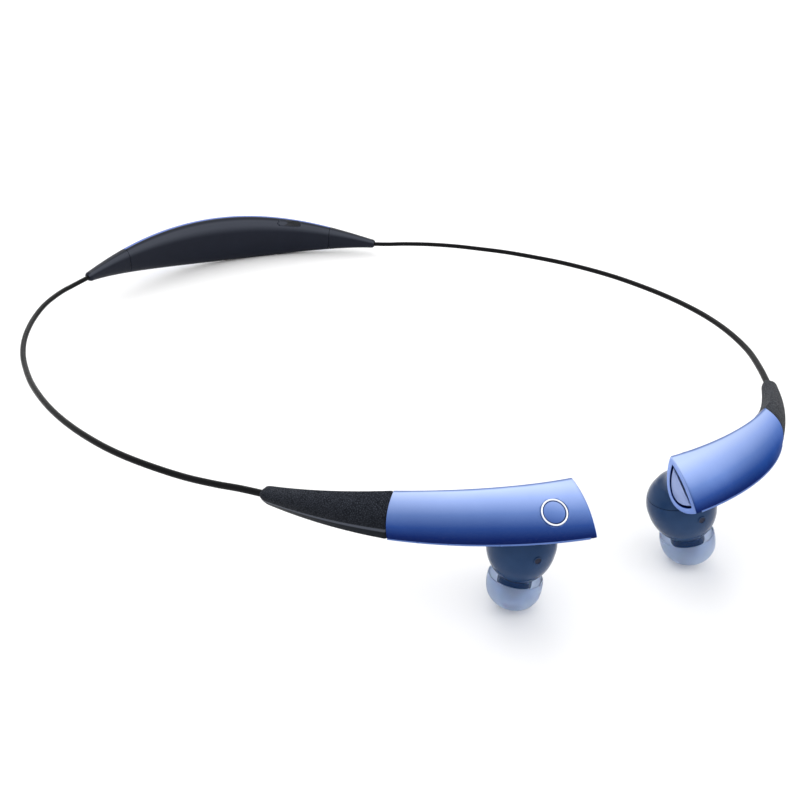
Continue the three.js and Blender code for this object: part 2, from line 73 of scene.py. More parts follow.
def spread(low, high, count):
    return [mix(low, high, i / (count - 1)) for i in range(count)]


# Camera and light

view = {"place": (-13.67, -329.37, 100.63), "heading": 13.684, "dip": 27.77, "roll": 2.88, "lens": 36}


def makeCamera():
    heading, dip, roll = (math.radians(view[key]) for key in ("heading", "dip", "roll"))
    forward = Vector((math.sin(heading) * math.cos(dip), math.cos(heading) * math.cos(dip), -math.sin(dip)))
    level = Vector((math.cos(heading), -math.sin(heading), 0))
    upright = level.cross(forward)
    right = level * math.cos(roll) - upright * math.sin(roll)
    up = level * math.sin(roll) + upright * math.cos(roll)
    turn = loopTurn @ Matrix((right, up, -forward)).transposed()
    camera = bpy.data.objects.new("camera", bpy.data.cameras.new("camera"))
    camera.data.lens, camera.data.sensor_width = view["lens"], 36
    camera.data.clip_start, camera.data.clip_end = 0.01, 20
    camera.matrix_world = Matrix.Translation(toRow(view["place"])) @ turn.to_4x4()
    bpy.context.scene.collection.objects.link(camera)
    bpy.context.scene.camera = camera


studio = {
    "world": 1.08,
    "key": {"at": (0.1, -0.2, 1.3), "size": 2.0, "power": 3.0},
    "back": {"at": (0.1, 0.9, 0.7), "size": 0.9, "power": 2.0},
    "side": {"at": (0.8, -0.5, 0.6), "size": 0.5, "power": 0.8},
}


def makeStudio():
    world = bpy.data.worlds.new("studio")
    world.use_nodes = True
    world.node_tree.nodes["Background"].inputs["Color"].default_value = (1, 1, 1, 1)
    world.node_tree.nodes["Background"].inputs["Strength"].default_value = studio["world"]
    bpy.context.scene.world = world
    middle = Vector((0, 0, 0.01))
    for name in ("key", "back", "side"):
        lamp = studio[name]
        data = bpy.data.lights.new(name + "Light", "AREA")
        data.shape, data.size, data.energy = "DISK", lamp["size"], lamp["power"]
        light = bpy.data.objects.new(name + "Light", data)
        light.location = lamp["at"]
        light.rotation_euler = (middle - light.location).to_track_quat("-Z", "Y").to_euler()
        bpy.context.scene.collection.objects.link(light)
    bpy.context.scene.view_settings.view_transform = "Standard"


makeCamera()
makeStudio()
print("camera and studio")


# A shader written as sums of its values: Value wraps a socket, Shader makes the nodes

class Value:
    def __init__(self, shader, socket):
        self.shader, self.socket = shader, socket

    def math(self, operation, *others):
        return self.shader.node("ShaderNodeMath", {"operation": operation}, dict(enumerate(others)))

    def __add__(self, other):
        return self.math("ADD", self, other)

    def __sub__(self, other):
        return self.math("SUBTRACT", self, other)

    def __rsub__(self, other):
        return self.math("SUBTRACT", other, self)

    def __mul__(self, other):
        return self.math("MULTIPLY", self, other)

    __radd__ = __add__
    __rmul__ = __mul__


class Shader:
    def __init__(self, name, **constants):
        self.material = bpy.data.materials.new(name)
        self.material.use_nodes = True
        self.tree = self.material.node_tree
        self.surface = self.tree.nodes["Principled BSDF"]
        for socket, value in constants.items():
            self.surface.inputs[socket.replace("_", " ")].default_value = value

    def node(self, kind, settings=None, inputs=None, output=0):
        made = self.tree.nodes.new(kind)
        for key, value in (settings or {}).items():
            if key == "stops":
                self.fillRamp(made.color_ramp, value)
            else:
                setattr(made, key, value)
        for key, value in (inputs or {}).items():
            self.feed(made.inputs[key], value)
        return Value(self, made.outputs[output])

    def fillRamp(self, ramp, stops):
        while len(ramp.elements) < len(stops):
            ramp.elements.new(0.5)
        for element, (place, colour) in zip(ramp.elements, stops):
            element.position = place
            element.color = (*colour, 1)

    def feed(self, socket, value):
        if isinstance(value, Value):
            self.tree.links.new(value.socket, socket)
        elif isinstance(value, tuple) and len(value) == 3 and socket.type == "RGBA":
            socket.default_value = (*value, 1)
        else:
            socket.default_value = value

    def set(self, socket, value):
        self.feed(self.surface.inputs[socket], value)

    def place(self):
        return self.node("ShaderNodeTexCoord", output="Object")

    def attribute(self, name):
        return self.node("ShaderNodeAttribute", {"attribute_name": name}, output="Fac")

    def noise(self, size, detail=3.0, roughness=0.5):
        inputs = {"Vector": self.place(), "Scale": 1000 / size, "Detail": detail, "Roughness": roughness}
        return self.node("ShaderNodeTexNoise", inputs=inputs)

    def cells(self, size, feature="DISTANCE_TO_EDGE"):
        inputs = {"Vector": self.place(), "Scale": 1000 / size}
        return self.node("ShaderNodeTexVoronoi", {"feature": feature}, inputs)

    def between(self, value, low, high, toLow=0.0, toHigh=1.0):
        inputs = {"Value": value, 1: low, 2: high, 3: toLow, 4: toHigh}
        return self.node("ShaderNodeMapRange", {"interpolation_type": "SMOOTHSTEP"}, inputs)

    def blendColour(self, factor, first, second):
        inputs = {0: factor, 6: first, 7: second}
        return self.node("ShaderNodeMix", {"data_type": "RGBA"}, inputs, output=2)

    def ramp(self, factor, stops):
        return self.node("ShaderNodeValToRGB", {"stops": stops}, {"Fac": factor})

    def bump(self, height, strength, distance):
        inputs = {"Height": height, "Strength": strength, "Distance": distance}
        self.set("Normal", self.node("ShaderNodeBump", inputs=inputs))


# Finishes

# Shell lacquer. The colour ramp is painted shade and highlight: pale at the ridge, navy at the foot, as light
# from above falls on the shells. Its last stop is the thin dark line of the ridge seam. The side shift paints
# the left earphone paler, for the light falling on it.
lacquer = {
    "paintedShade": [
        (0.0, (0.001, 0.007, 0.065)), (0.10, (0.003, 0.015, 0.110)), (0.28, (0.022, 0.062, 0.250)),
        (0.52, (0.115, 0.195, 0.460)), (0.78, (0.310, 0.420, 0.760)), (0.955, (0.500, 0.610, 0.890)),
        (0.99, (0.120, 0.190, 0.430)),
    ],
    "flake": 0.05,
    "shift": (-0.10, 0.24),
    "sideLightShift": {"right": 0.0, "left": 0.12},
}


# Painted shade and highlight: the ramp over the level attribute makes the ridge pale and the foot dark navy.
def makeShadePaintedLacquer():
    shader = Shader("shadePaintedLacquer", Metallic=0.94, Specular_Tint=(0.4, 0.52, 0.9, 1))
    level = shader.attribute("level") * 0.5 + 0.5
    drift = shader.noise(9, 2) - 0.5
    shade = shader.ramp(level + drift * 0.03, lacquer["paintedShade"])
    flake = shader.noise(lacquer["flake"], 0)
    sparkle = shader.between(flake, 0.55, 0.8)
    shader.set("Base Color", shader.blendColour(sparkle * 0.05, shade, (0.75, 0.82, 1.0)))
    shader.set("Roughness", shader.between(shader.noise(4, 4), 0.2, 0.8, 0.42, 0.5))
    shader.bump(flake, 0.04, 0.00002)
    return shader.material


def makeLacquer(name, dark, light, roughness, metallic=0.7):
    shader = Shader(name, Metallic=metallic, Coat_Weight=0.07, Coat_Roughness=0.15)
    worn = shader.between(shader.noise(5, 3), 0.3, 0.75)
    shader.set("Base Color", shader.blendColour(worn * 0.3 + 0.35, dark, light))
    shader.set("Roughness", shader.between(shader.noise(1.5, 4), 0.2, 0.8, roughness - 0.05, roughness + 0.07))
    shader.bump(shader.noise(0.12, 2), 0.03, 0.00002)
    return shader.material


leatherLook = {"pebble": 0.42, "crease": 2.4, "dark": (0.001, 0.001, 0.002), "light": (0.044, 0.049, 0.064)}


def makeLeather():
    shader = Shader("grainedLeather", Specular_IOR_Level=0.07, Specular_Tint=(0.6, 0.8, 1, 1))
    pebbles = shader.between(shader.cells(leatherLook["pebble"]), 0.0, 0.28)
    creases = shader.noise(leatherLook["crease"], 6, 0.65)
    height = pebbles * 0.75 + creases * 0.5
    foot = shader.between(shader.attribute("level"), -0.62, -0.57, 1.0, 0.0)
    # Painted highlight: a pale line along the top of the smooth foot band.
    edge = foot * shader.between(shader.attribute("level"), -0.74, -0.69, 0.0, 1.0)
    # Painted light: the grain is lighter towards the top of the sleeve and darker towards the foot, as light
    # from above falls.
    paintedTopLight = shader.between(shader.attribute("level"), -0.6, 0.95, 0.45, 1.05)
    grain = (pebbles * 0.65 + creases * 0.35) * paintedTopLight
    tone = shader.blendColour(grain, leatherLook["dark"], leatherLook["light"])
    smoothFoot = shader.blendColour(foot * 0.8, tone, (0.006, 0.007, 0.010))
    # The pale colour here is the painted highlight of that line; the smooth foot band itself is darker and
    # glossier.
    shader.set("Base Color", shader.blendColour(edge * 0.8, smoothFoot, (0.075, 0.082, 0.105)))
    shader.set("Roughness", shader.between(height, 0.2, 1.1, 0.66, 0.46) - foot * 0.16)
    shader.bump(height * (1 - foot * 0.9), 0.7, 0.00016)
    return shader.material


def makeMoulded(name, dark, light, roughness, grain=0.16, bump=0.12):
    shader = Shader(name, Specular_IOR_Level=0.3)
    cloud = shader.noise(7, 2)
    shader.set("Base Color", shader.blendColour(shader.between(cloud, 0.3, 0.7), dark, light))
    shader.set("Roughness", shader.between(shader.noise(2, 5), 0.25, 0.75, roughness - 0.06, roughness + 0.08))
    shader.bump(shader.noise(grain, 3), bump, 0.00004)
    return shader.material


# Satin housing, with a painted highlight: paler along its upper shoulder, where the light from above falls.
def makeHousing():
    shader = Shader("satinHousing", Specular_IOR_Level=0.16)
    level = shader.attribute("level")
    paintedHighlightBand = shader.between(level, 0.25, 0.68) * shader.between(level, 0.84, 0.97, 1.0, 0.1)
    tone = shader.blendColour(shader.noise(7, 2), (0.0028, 0.0046, 0.0120), (0.0048, 0.0072, 0.0165))
    shader.set("Base Color", shader.blendColour(paintedHighlightBand * 0.9, tone, (0.048, 0.054, 0.072)))
    shader.set("Roughness", shader.between(shader.noise(2, 5), 0.25, 0.75, 0.3, 0.42))
    shader.bump(shader.noise(0.16, 3), 0.1, 0.00004)
    return shader.material


def makeSmoked():
    shader = Shader("smokedPlastic", Specular_IOR_Level=0.18, Specular_Tint=(0.5, 0.7, 1, 1))
    cloud = shader.between(shader.noise(7, 2), 0.3, 0.7)
    shader.set("Base Color", shader.blendColour(cloud, (0.014, 0.036, 0.094), (0.020, 0.046, 0.112)))
    shader.set("Roughness", shader.between(shader.noise(1.2, 4), 0.2, 0.8, 0.2, 0.26))
    shader.bump(shader.noise(0.6, 2), 0.01, 0.00002)
    return shader.material


def makeSilicone():
    shader = Shader("blueSilicone", Transmission_Weight=0.8, IOR=1.2, Subsurface_Weight=0.15,
                    Subsurface_Scale=0.001, Specular_IOR_Level=0.4)
    dust = shader.between(shader.noise(1.1, 6, 0.7), 0.52, 0.72)
    shader.set("Base Color", shader.blendColour(dust * 0.3, (0.56, 0.66, 0.84), (0.68, 0.75, 0.86)))
    shader.set("Roughness", shader.between(shader.noise(0.8, 5), 0.2, 0.8, 0.3, 0.48))
    shader.bump(shader.noise(0.3, 3), 0.06, 0.00004)
    return shader.material


def makeMetal(name, colour, roughness, size):
    shader = Shader(name, Metallic=1.0)
    brushed = shader.noise(size, 5)
    shader.set("Base Color", shader.blendColour(brushed * 0.3, colour, tuple(c * 0.8 for c in colour)))
    smudges = shader.noise(size * 3, 4)
    shader.set("Roughness", shader.between(smudges, 0.25, 0.75, roughness * 0.7, roughness * 1.4))
    shader.bump(brushed, 0.03, 0.00002)
    return shader.material


def makeCableJacket():
    shader = Shader("cableJacket", Specular_IOR_Level=0.09)
    mottle = shader.noise(2.2, 4)
    shader.set("Base Color", shader.blendColour(mottle, (0.001, 0.001, 0.0015), (0.003, 0.003, 0.004)))
    shader.set("Roughness", shader.between(shader.noise(1.4, 5), 0.25, 0.75, 0.24, 0.4))
    shader.bump(shader.noise(0.5, 3), 0.1, 0.00005)
    return shader.material


def makeBoard():
    shader = Shader("circuitBoard", Specular_IOR_Level=0.5)
    tracks = shader.between(shader.cells(1.1), 0.02, 0.07)
    shader.set("Base Color", shader.blendColour(tracks, (0.35, 0.27, 0.08), (0.01, 0.10, 0.045)))
    shader.set("Roughness", shader.between(shader.noise(1, 3), 0.2, 0.8, 0.4, 0.6))
    shader.bump(tracks, 0.2, 0.00003)
    return shader.material


looks = {
    "shadePaintedLacquer": makeShadePaintedLacquer(),
    "blueLacquer": makeLacquer("blueLacquer", (0.085, 0.145, 0.42), (0.105, 0.17, 0.46), 0.36),
    "deepLacquer": makeLacquer("deepLacquer", (0.02, 0.04, 0.16), (0.06, 0.10, 0.30), 0.34),
    "paleLacquer": makeLacquer("paleLacquer", (0.20, 0.28, 0.56), (0.27, 0.36, 0.66), 0.34),
    "highlightStripLacquer": makeLacquer("highlightStripLacquer", (0.06, 0.12, 0.34), (0.12, 0.20, 0.50), 0.3),
    "leather": makeLeather(),
    "housing": makeHousing(),
    "rubber": makeMoulded("softRubber", (0.006, 0.007, 0.010), (0.016, 0.018, 0.024), 0.62, 0.3, 0.3),
    # One dark moulded finish serves as painted shade in the clasp slot and the vent, and as the real dark
    # charging receptacle and nozzle foam.
    "shadow": makeMoulded("paintedShadeAndDarkParts", (0.002, 0.004, 0.020), (0.006, 0.010, 0.040), 0.5),
    "smoked": makeSmoked(),
    "silicone": makeSilicone(),
    "cable": makeCableJacket(),
    "chrome": makeMetal("polishedChrome", (0.86, 0.88, 0.92), 0.09, 1.5),
    "steel": makeMetal("brushedSteel", (0.52, 0.54, 0.57), 0.34, 0.4),
    "foil": makeMetal("cellFoil", (0.62, 0.63, 0.66), 0.3, 0.9),
    "gold": makeMetal("goldPlate", (0.86, 0.62, 0.24), 0.25, 0.5),
    "board": makeBoard(),
}
print("finishes", len(looks))


# Mesh building

def makePiece(name, points, faces, look, flip=False, marks=None, sharp=40, modifiers=()):
    mesh = bpy.data.meshes.new(name)
    mesh.from_pydata([tuple(p) for p in points], [], [f[::-1] if flip else f for f in faces])
    for key, values in (marks or {}).items():
        mesh.attributes.new(key, "FLOAT", "POINT").data.foreach_set("value", values)
    mesh.validate()
    mesh.materials.append(looks[look])
    piece = bpy.data.objects.new(name, mesh)
    bpy.context.scene.collection.objects.link(piece)
    for kind, settings in modifiers:
        modifier = piece.modifiers.new(kind.lower(), kind)
        for key, value in settings.items():
            setattr(modifier, key, value)
    if modifiers:
        settle(piece)
    piece.data.shade_smooth()
    piece.data.set_sharp_from_angle(angle=math.radians(sharp))
    return piece


def settle(piece):
    graph = bpy.context.evaluated_depsgraph_get()
    finished = bpy.data.meshes.new_from_object(piece.evaluated_get(graph))
    piece.modifiers.clear()
    piece.data = finished
    finished.name = piece.name


def edgeBevel(width, segments=2, angle=35):
    return ("BEVEL", {"width": width * 0.001, "segments": segments, "limit_method": "ANGLE",
                      "angle_limit": math.radians(angle), "harden_normals": False})


# A closed wall between two skins of stations of points; a round wall closes on itself.
def wallFaces(stations, across, around):
    inside = stations * across
    faces = []
    strips = across if around else across - 1

    def at(layer, s, i):
        return layer * inside + s * across + i % across

    for s in range(stations - 1):
        for i in range(strips):
            faces.append((at(0, s, i), at(0, s, i + 1), at(0, s + 1, i + 1), at(0, s + 1, i)))
            faces.append((at(1, s, i), at(1, s + 1, i), at(1, s + 1, i + 1), at(1, s, i + 1)))
        if not around:
            last = across - 1
            faces.append((at(0, s, 0), at(0, s + 1, 0), at(1, s + 1, 0), at(1, s, 0)))
            faces.append((at(0, s, last), at(1, s, last), at(1, s + 1, last), at(0, s + 1, last)))
    end = stations - 1
    for i in range(strips):
        faces.append((at(0, 0, i), at(1, 0, i), at(1, 0, i + 1), at(0, 0, i + 1)))
        faces.append((at(0, end, i), at(0, end, i + 1), at(1, end, i + 1), at(1, end, i)))
    return faces


# A closed solid through rings, with a fan at each end.
def loftFaces(rings, count):
    faces = []
    for s in range(rings - 1):
        for i in range(count):
            j = (i + 1) % count
            faces.append((s * count + i, s * count + j, (s + 1) * count + j, (s + 1) * count + i))
    first, last, base = rings * count, rings * count + 1, (rings - 1) * count
    for i in range(count):
        j = (i + 1) % count
        faces.append((first, j, i))
        faces.append((last, base + i, base + j))
    return faces


def middle(ring):
    return sum((Vector(p) for p in ring), Vector()) / len(ring)


def loftPoints(rings):
    return [p for ring in rings for p in ring] + [middle(rings[0]), middle(rings[-1])]


# A turned solid: the profile is (radius, distance along the axis), from a point on the axis to another,
# or a loop that closes on itself.
def turned(profile, at, axis, count=48, closed=False):
    axis = Vector(axis).normalized()
    side = axis.orthogonal().normalized()
    other = axis.cross(side)
    points, faces, rows = [], [], []
    for radius, along in profile:
        centre = Vector(at) + axis * along
        if radius < 1e-6:
            rows.append([len(points)] * count)
            points.append(centre)
            continue
        rows.append(list(range(len(points), len(points) + count)))
        for i in range(count):
            a = math.tau * i / count
            points.append(centre + (side * math.cos(a) + other * math.sin(a)) * radius)
    pairs = list(zip(rows, rows[1:])) + ([(rows[-1], rows[0])] if closed else [])
    for low, high in pairs:
        for i in range(count):
            j = (i + 1) % count
            face = [low[i], low[j], high[j], high[i]]
            face = tuple(dict.fromkeys(face))
            if len(face) > 2:
                faces.append(face)
    return points, faces


def finishPiece(piece, body, slot, *nodes):
    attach(piece, body)
    if nodes:
        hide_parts(*nodes)
    return piece


# Cables

cable = {"diameter": 1.7, "sides": 14, "steps": 9}
cableRoutes = {
    "right": [
        (-58.2, -10.8, 3.4), (-62.9, -17.5, 3.2), (-66.8, -24.6, 3.3), (-70.7, -35.2, 3.2),
        (-73.2, -45.9, 2.5), (-74.2, -56.7, 2.0), (-74.3, -66.0, 1.3), (-73.4, -75.2, 0.6),
        (-71.6, -84.2, 0), (-68.7, -95.2, 0), (-65.0, -105.9, 0), (-60.6, -116.4, 0),
        (-55.4, -126.6, 0), (-49.5, -136.2, -0.1), (-43.0, -144.8, -0.5), (-35.6, -152.5, -1.1),
        (-26.8, -160.1, -1.9), (-19.4, -166.7, -1.5), (-14.0, -171.4, -0.9), (-9.0, -175.95, -0.5),
    ],
    "left": [
        (61.3, 10.3, -3.5), (66.5, 6.0, -3.0), (72.4, 1.1, -2.2), (81.1, -6.6, -1.3),
        (89.9, -15.2, -0.7), (98.0, -24.4, -0.3), (105.9, -33.8, 0), (113.4, -43.6, 0),
        (120.3, -53.8, 0), (126.1, -64.6, 0), (131.0, -75.9, 0), (134.7, -87.6, 0), (137.5, -99.5, 0),
        (139.2, -111.7, 0), (139.6, -124.0, 0), (138.4, -136.2, 0), (135.8, -148.2, -0.1),
        (131.2, -159.6, 0.2), (126.35, -169.75, 0.4),
    ],
}


def smoothRoute(route, steps):
    points = [toRow(p) for p in route]
    padded = [points[0] * 2 - points[1]] + points + [points[-1] * 2 - points[-2]]
    line = []
    for i in range(1, len(padded) - 2):
        a, b, c, d = padded[i - 1:i + 3]
        for k in range(steps):
            t = k / steps
            line.append(0.5 * (2 * b + (c - a) * t + (2 * a - 5 * b + 4 * c - d) * t ** 2
                               + (3 * b - a - 3 * c + d) * t ** 3))
    return line + [points[-1]]


def makeCable(side):
    line = smoothRoute(cableRoutes[side], cable["steps"])
    radius = cable["diameter"] / 2000
    rings, across = [], Vector((0, 0, 1))
    for i, point in enumerate(line):
        ahead = (line[min(i + 1, len(line) - 1)] - line[max(i - 1, 0)]).normalized()
        across = (across - ahead * across.dot(ahead)).normalized()
        other = ahead.cross(across)
        rings.append([point + (across * math.cos(a) + other * math.sin(a)) * radius
                      for a in (math.tau * k / cable["sides"] for k in range(cable["sides"]))])
    points = loftPoints(rings)
    piece = makePiece(side + "Cable", points, loftFaces(len(rings), cable["sides"]), "cable", sharp=60)
    length = sum((b - a).length for a, b in zip(line, line[1:]))
    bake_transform(piece)
    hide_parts(side + "_cable")
    print(side, "cable", round(length * 1000), "mm")


for side in sides:
    makeCable(side)


# Rear module

module = {
    "at": (1.5, 0, 0), "yaw": 10, "pitch": 8, "roll": 3.3, "halfChord": 60.5, "halfTurn": 45,
    "midTop": 9, "midFoot": 10.6, "midDepth": 9, "endHeight": 3.4, "endDepth": 3.4,
    "seam": 0.69, "wall": 1.2, "reach": 62, "crest": 93,
}
arcRadius = module["halfChord"] / math.sin(math.radians(module["halfTurn"]))
moduleTurn = (Matrix.Rotation(math.radians(module["yaw"]), 3, "Z")
              @ Matrix.Rotation(math.radians(module["roll"]), 3, "Y")
              @ Matrix.Rotation(math.radians(module["pitch"]), 3, "X"))


def moduleToRow(point):
    return toRow(moduleTurn @ Vector(point) + Vector(module["at"]))


# The arc's frame at a share of the half turn: along the arc, out to the back, up, and its place.
def moduleFrame(share):
    turn = math.radians(module["halfTurn"]) * share
    out = Vector((math.sin(turn), math.cos(turn), 0))
    centre = Vector((0, -arcRadius * math.cos(math.radians(module["halfTurn"])), 0))
    return Vector((math.cos(turn), -math.sin(turn), 0)), out, Vector((0, 0, 1)), centre + out * arcRadius


def modulePoint(share, angle, inset=0.0):
    swell = max(math.cos(share * math.pi / 2), 0)
    top = mix(module["endHeight"] / 2, module["midTop"], swell ** 1.25)
    foot = mix(module["endHeight"] / 2, module["midFoot"], swell ** 1.1)
    depth = mix(module["endDepth"], module["midDepth"], swell ** 1.2) / 2
    c, s = math.cos(math.radians(angle)), math.sin(math.radians(angle))
    softC, softS = (math.copysign(abs(v) ** 0.85, v) for v in (c, s))
    _, out, up, place = moduleFrame(share)
    return place + out * (depth - inset) * softC + up * ((top if s > 0 else foot) - inset) * softS


def moduleShell(name, fromShare, toShare, fromAngle, toAngle, look, stations=110, across=44, bevel=0.25):
    skins, marks = [], []
    angles = spread(fromAngle, toAngle, across)
    for inset in (0, module["wall"]):
        for share in spread(fromShare, toShare, stations):
            skins += [moduleToRow(modulePoint(share, angle, inset)) for angle in angles]
            marks += [math.sin(math.radians(angle)) for angle in angles]
    return makePiece(name, skins, wallFaces(stations, across, False), look, flip=False, marks={"level": marks},
                     modifiers=[edgeBevel(bevel, 3)])


def makeModule():
    seam, reach, crest = module["seam"] - 0.001, module["reach"], module["crest"]
    cover = moduleShell("moduleCover", -seam, seam, -reach, crest, "blueLacquer")
    finishPiece(cover, "rear_module", "metallic_blue", "module_back_cover")
    housing = moduleShell("moduleHousing", -seam, seam, crest + 1.2, 360 - reach - 1.5, "housing", across=80)
    cutPort(housing)
    finishPiece(housing, "rear_module", "dark_housing", "module_neck_housing")
    for side, sign in (("right", -1), ("left", 1)):
        finishPiece(makeBoot(side, sign), "rear_module", "dark_housing", side + "_module_boot")
    makePortFlap()
    print("rear module")


def makeBoot(side, sign):
    stations, across, skins, marks = 60, 48, [], []
    shares = spread(module["seam"] + 0.001, 1, stations)
    for layer in range(2):
        for k, share in enumerate(shares):
            along = k / (stations - 1)
            rounding = 0.55 * max(0, (along - 0.95) / 0.05) ** 2
            inset = mix(module["wall"], module["endHeight"] / 2 - 0.75, along) if layer else rounding
            skins += [moduleToRow(modulePoint(sign * share, 360 * i / across, inset)) for i in range(across)]
            marks += [math.sin(math.tau * i / across) for i in range(across)]
    return makePiece(side + "Boot", skins, wallFaces(stations, across, True), "housing", flip=sign < 0,
                     marks={"level": marks},
                     modifiers=[edgeBevel(0.18, 3)])


# Charging port

port = {"share": 0.42, "angle": 122, "length": 9, "height": 2.4, "thick": 0.9, "clear": 0.22}


# Axes back along the module, out of its neck side and up over it, with the place of the port.
def portFrame():
    place = modulePoint(port["share"], port["angle"])
    above, below = (modulePoint(port["share"], port["angle"] + turn) for turn in (-8, 8))
    up = (above - below).normalized()
    back = -moduleFrame(port["share"])[0]
    return back, up.cross(back), up, place


def roundedBar(name, length, height, depth, radius, place, look, shift=0.0, corner=6):
    back, out, up, middlePoint = place
    outline = []
    for cx, cz, start in ((1, 1, 0), (-1, 1, 90), (-1, -1, 180), (1, -1, 270)):
        for k in range(corner + 1):
            a = math.radians(start + 90 * k / corner)
            outline.append(((length / 2 - radius) * cx + radius * math.cos(a),
                            (height / 2 - radius) * cz + radius * math.sin(a)))
    rings = []
    for y, shrink in ((-depth / 2, 0), (depth / 2 - 0.15, 0), (depth / 2, 0.15)):
        rings.append([moduleToRow(middlePoint + back * (x * (1 - 2 * shrink / length)) + out * (y + shift)
                                  + up * (z * (1 - 2 * shrink / height))) for x, z in outline])
    return makePiece(name, loftPoints(rings), loftFaces(len(rings), len(outline)), look, flip=False)


def cutPort(housing):
    clear = port["clear"] * 2
    size = (port["length"] + clear, port["height"] + clear)
    cutter = roundedBar("portCutter", *size, 6, 0.7, portFrame(), "shadow")
    modifier = housing.modifiers.new("port", "BOOLEAN")
    modifier.object, modifier.solver = cutter, "EXACT"
    settle(housing)
    housing.data.shade_smooth()
    housing.data.set_sharp_from_angle(angle=math.radians(30))
    bpy.data.objects.remove(cutter)


def makePortFlap():
    place = portFrame()
    flap = roundedBar("portFlap", port["length"], port["height"], port["thick"], 0.75, place, "rubber", -0.38)
    finishPiece(flap, "port_flap", "flap_rubber", "port_flap")
    lip = roundedBar("portFlapLip", 2.6, 0.5, 0.5, 0.2,
                     (place[0], place[1], place[2], place[3] + place[2] * 0.55), "rubber", 0.02)
    finishPiece(lip, "port_flap", "flap_rubber")


makeModule()


# Shape of an earphone

bud = {
    "sleeve": 35, "shell": 38.2, "endCurvature": 0.026, "rise": 0.0018,
    "height": (2.0, 4.9, 6.0), "depth": (1.85, 5.0, 9.2), "crown": (1.85, 1.6, 1.3),
    "slant": 1.85, "twist": 31.7, "wall": 0.9,
}
budLength = bud["sleeve"] + bud["shell"]
budPlaces = {
    "right": {"mirror": -1, "at": (-8.8, -176.2, -0.45), "yaw": -53.5, "pitch": 9.6, "roll": 27.8},
    "left": {"mirror": 1, "at": (126.2, -170.0, 0.45), "yaw": -121.4, "pitch": 9.2, "roll": 29.4},
}


def budToRow(side, point):
    place = budPlaces[side]
    yaw, pitch, roll = (math.radians(place[key]) for key in ("yaw", "pitch", "roll"))
    turn = (Matrix.Rotation(yaw, 3, "Z") @ Matrix.Rotation(-pitch, 3, "Y")
            @ Matrix.Rotation(place["mirror"] * roll, 3, "X"))
    local = Vector((point[0], point[1] * place["mirror"], point[2]))
    return toRow(turn @ local + Vector(place["at"]))


spineStep = 0.2
spineLine = [(0.0, 0.0)]
while len(spineLine) * spineStep < budLength + 2:
    heading = -bud["endCurvature"] * ((len(spineLine) - 0.5) * spineStep) ** 2 / (2 * budLength)
    last = spineLine[-1]
    spineLine.append((last[0] + math.cos(heading) * spineStep, last[1] + math.sin(heading) * spineStep))


# Axes along the spine, outwards and up at a distance from the cable end, with the place.
def spineFrame(station):
    k = min(int(station / spineStep), len(spineLine) - 2)
    share = station / spineStep - k
    x, y = (mix(spineLine[k][i], spineLine[k + 1][i], share) for i in (0, 1))
    heading = -bud["endCurvature"] * station ** 2 / (2 * budLength)
    along = Vector((math.cos(heading), math.sin(heading), 0))
    twist = math.radians(bud["twist"]) * clamp((station - bud["sleeve"]) / bud["shell"])
    turn = Matrix.Rotation(twist, 3, along)
    out = turn @ Vector((-math.sin(heading), math.cos(heading), 0))
    return along, out, turn @ Vector((0, 0, 1)), Vector((x, y, bud["rise"] * station ** 2))


def sized(key, station):
    small, seam, end = bud[key]
    if station < bud["sleeve"]:
        return mix(small, seam, clamp(station / bud["sleeve"]))
    return mix(seam, end, clamp((station - bud["sleeve"]) / bud["shell"]))


# level runs from -1 at the foot to 1 at the ridge; facing is 1 outside and -1 on the ear side
def sectionPoint(station, level, facing, inset=0.0, outward=0.0):
    height, depth, crown = (sized(key, station) for key in ("height", "depth", "crown"))
    body = max(1 - level * level, 0)
    if facing > 0:
        out = max(crown - inset * 0.9, 0.2) * body - inset * (1 - body) * 0.6
    else:
        out = -(depth - inset) * body ** 0.8 - inset * 0.5 * (1 - body)
    raised = level * (height - inset)
    slant = bud["slant"] * clamp((station - bud["sleeve"]) / bud["shell"])
    along, outDirection, up, place = spineFrame(station)
    return place - along * (slant * raised / height) + outDirection * (out + outward) + up * raised


def levels(count, low=-90, high=90):
    return [math.sin(math.radians(a)) for a in spread(low, high, count)]


def sectionRing(station, inset=0.0, half=33, outerInset=None):
    outer = inset if outerInset is None else outerInset
    ring = [(sectionPoint(station, v, 1, outer), v) for v in levels(half)]
    return ring + [(sectionPoint(station, v, -1, inset), v) for v in levels(half)[1:-1][::-1]]


def wallPiece(name, side, outer, inner, look, around, sharp=30, modifiers=()):
    skins, marks = [], []
    for row in outer + inner:
        skins += [budToRow(side, p) for p, _ in row]
        marks += [level for _, level in row]
    faces = wallFaces(len(outer), len(outer[0]), around)
    return makePiece(side + name, skins, faces, look, flip=budPlaces[side]["mirror"] < 0,
                     marks={"level": marks}, sharp=sharp, modifiers=modifiers)


def budTurned(name, side, profile, at, axis, look, closed=False, count=56, sharp=30, marks=None):
    points, faces = turned(profile, at, axis, count, closed)
    rows = [budToRow(side, p) for p in points]
    extra = {"level": [marks(p) for p in points]} if marks else None
    piece = makePiece(side + name, rows, faces, look, marks=extra, sharp=sharp)
    pointOut(piece)
    return piece


def pointOut(piece):
    mesh = bmesh.new()
    mesh.from_mesh(piece.data)
    bmesh.ops.remove_doubles(mesh, verts=mesh.verts, dist=1e-7)
    bmesh.ops.recalc_face_normals(mesh, faces=mesh.faces)
    mesh.to_mesh(piece.data)
    mesh.free()


